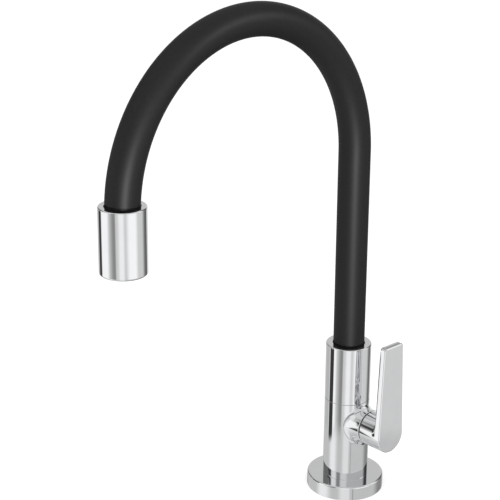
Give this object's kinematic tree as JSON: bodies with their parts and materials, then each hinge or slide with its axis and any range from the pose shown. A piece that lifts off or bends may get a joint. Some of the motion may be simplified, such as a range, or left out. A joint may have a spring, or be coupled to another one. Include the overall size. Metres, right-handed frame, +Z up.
{
  "type": "flexible kitchen faucet",
  "caption": "Deck-mounted cold-water kitchen tap: round foot and body, flat side lever, swivelling spout with a self-supporting flexible gooseneck hose and a short round nozzle.",
  "frame": {"origin": "centre of the foot's underside, on the deck and on the body's axis", "axes": "+Z up the body and the riser; the arch runs towards -Y; the lever's axis points to +X"},
  "size_m": [0.0755, 0.2619, 0.453],
  "materials": {
    "polished_chrome": "polished",
    "plain_brass": "satin",
    "stainless_steel": "satin",
    "seal_rubber": "matte",
    "matte_black_silicone": "satin",
    "black_plastic": "satin",
    "white_plastic": "satin",
    "grey_ceramic": "polished"
  },
  "bodies": {
    "base": {"base_flange": "polished_chrome", "deck_gasket": "seal_rubber", "threaded_shank": "plain_brass", "rubber_washer": "seal_rubber", "steel_washer": "stainless_steel", "lock_nut": "plain_brass", "valve_body": "polished_chrome", "seat_seal": "seal_rubber", "headwork_body": "plain_brass", "headwork_o_ring": "seal_rubber", "fixed_ceramic_disc": "grey_ceramic", "swivel_neck": "plain_brass", "neck_o_ring_lower": "seal_rubber", "neck_o_ring_upper": "seal_rubber", "seam_glide_ring": "white_plastic"},
    "lever": {"lever": "polished_chrome", "valve_spindle": "plain_brass", "spindle_o_ring": "seal_rubber", "spindle_circlip": "stainless_steel", "moving_ceramic_disc": "grey_ceramic", "lever_grub_screw": "stainless_steel"},
    "spout": {"upper_sleeve": "polished_chrome", "swivel_socket": "plain_brass", "swivel_grub_screw": "stainless_steel", "lower_collar": "black_plastic", "lower_ferrule": "stainless_steel", "hose_sleeve": "matte_black_silicone", "water_tube": "white_plastic", "gooseneck_root": "stainless_steel"},
    "gooseneck_length_1": {"gooseneck_length_1": "stainless_steel"},
    "gooseneck_length_2": {"gooseneck_length_2": "stainless_steel"},
    "gooseneck_length_3": {"gooseneck_length_3": "stainless_steel"},
    "gooseneck_length_4": {"gooseneck_length_4": "stainless_steel"},
    "gooseneck_length_5": {"gooseneck_length_5": "stainless_steel"},
    "gooseneck_length_6": {"gooseneck_length_6": "stainless_steel"},
    "gooseneck_length_7": {"gooseneck_length_7": "stainless_steel"},
    "nozzle": {"gooseneck_tip": "stainless_steel", "nozzle_sleeve": "polished_chrome", "upper_collar": "black_plastic", "upper_ferrule": "stainless_steel", "nozzle_adapter": "plain_brass", "aerator_seal": "seal_rubber", "aerator_housing": "polished_chrome", "aerator_insert": "white_plastic"}
  },
  "joints": [
    {"name": "lever_turn", "type": "hinge", "parent": "base", "child": "lever", "pos_m": [0.0335, 0, 0.0576], "axis": [1, 0, 0], "range_deg": [0, 90]},
    {"name": "spout_swivel", "type": "hinge", "parent": "base", "child": "spout", "pos_m": [0, 0, 0.075], "axis": [0, 0, 1], "range_deg": [-180, 180]},
    {"name": "bend_1", "type": "hinge", "parent": "spout", "child": "gooseneck_length_1", "pos_m": [0, 0, 0.15123], "axis": [0, 1, 0], "range_deg": [-12, 12], "deforming": ["hose_sleeve", "water_tube"]},
    {"name": "bend_2", "type": "hinge", "parent": "gooseneck_length_1", "child": "gooseneck_length_2", "pos_m": [0, 0, 0.21288], "axis": [1, 0, 0], "range_deg": [-12, 12]},
    {"name": "bend_3", "type": "hinge", "parent": "gooseneck_length_2", "child": "gooseneck_length_3", "pos_m": [0, -0.00003, 0.27453], "axis": [0, 0.9997, 0.023], "range_deg": [-12, 12]},
    {"name": "bend_4", "type": "hinge", "parent": "gooseneck_length_3", "child": "gooseneck_length_4", "pos_m": [0, -0.01744, 0.33289], "axis": [1, 0, 0], "range_deg": [-12, 12]},
    {"name": "bend_5", "type": "hinge", "parent": "gooseneck_length_4", "child": "gooseneck_length_5", "pos_m": [0, -0.06296, 0.37323], "axis": [0, 0.4251, 0.9052], "range_deg": [-12, 12]},
    {"name": "bend_6", "type": "hinge", "parent": "gooseneck_length_5", "child": "gooseneck_length_6", "pos_m": [0, -0.12308, 0.38224], "axis": [1, 0, 0], "range_deg": [-12, 12]},
    {"name": "bend_7", "type": "hinge", "parent": "gooseneck_length_6", "child": "gooseneck_length_7", "pos_m": [0, -0.1783, 0.3568], "axis": [0, -0.6589, 0.7523], "range_deg": [-12, 12]},
    {"name": "bend_8", "type": "hinge", "parent": "gooseneck_length_7", "child": "nozzle", "pos_m": [0, -0.21117, 0.30559], "axis": [1, 0, 0], "range_deg": [-12, 12]}
  ]
}
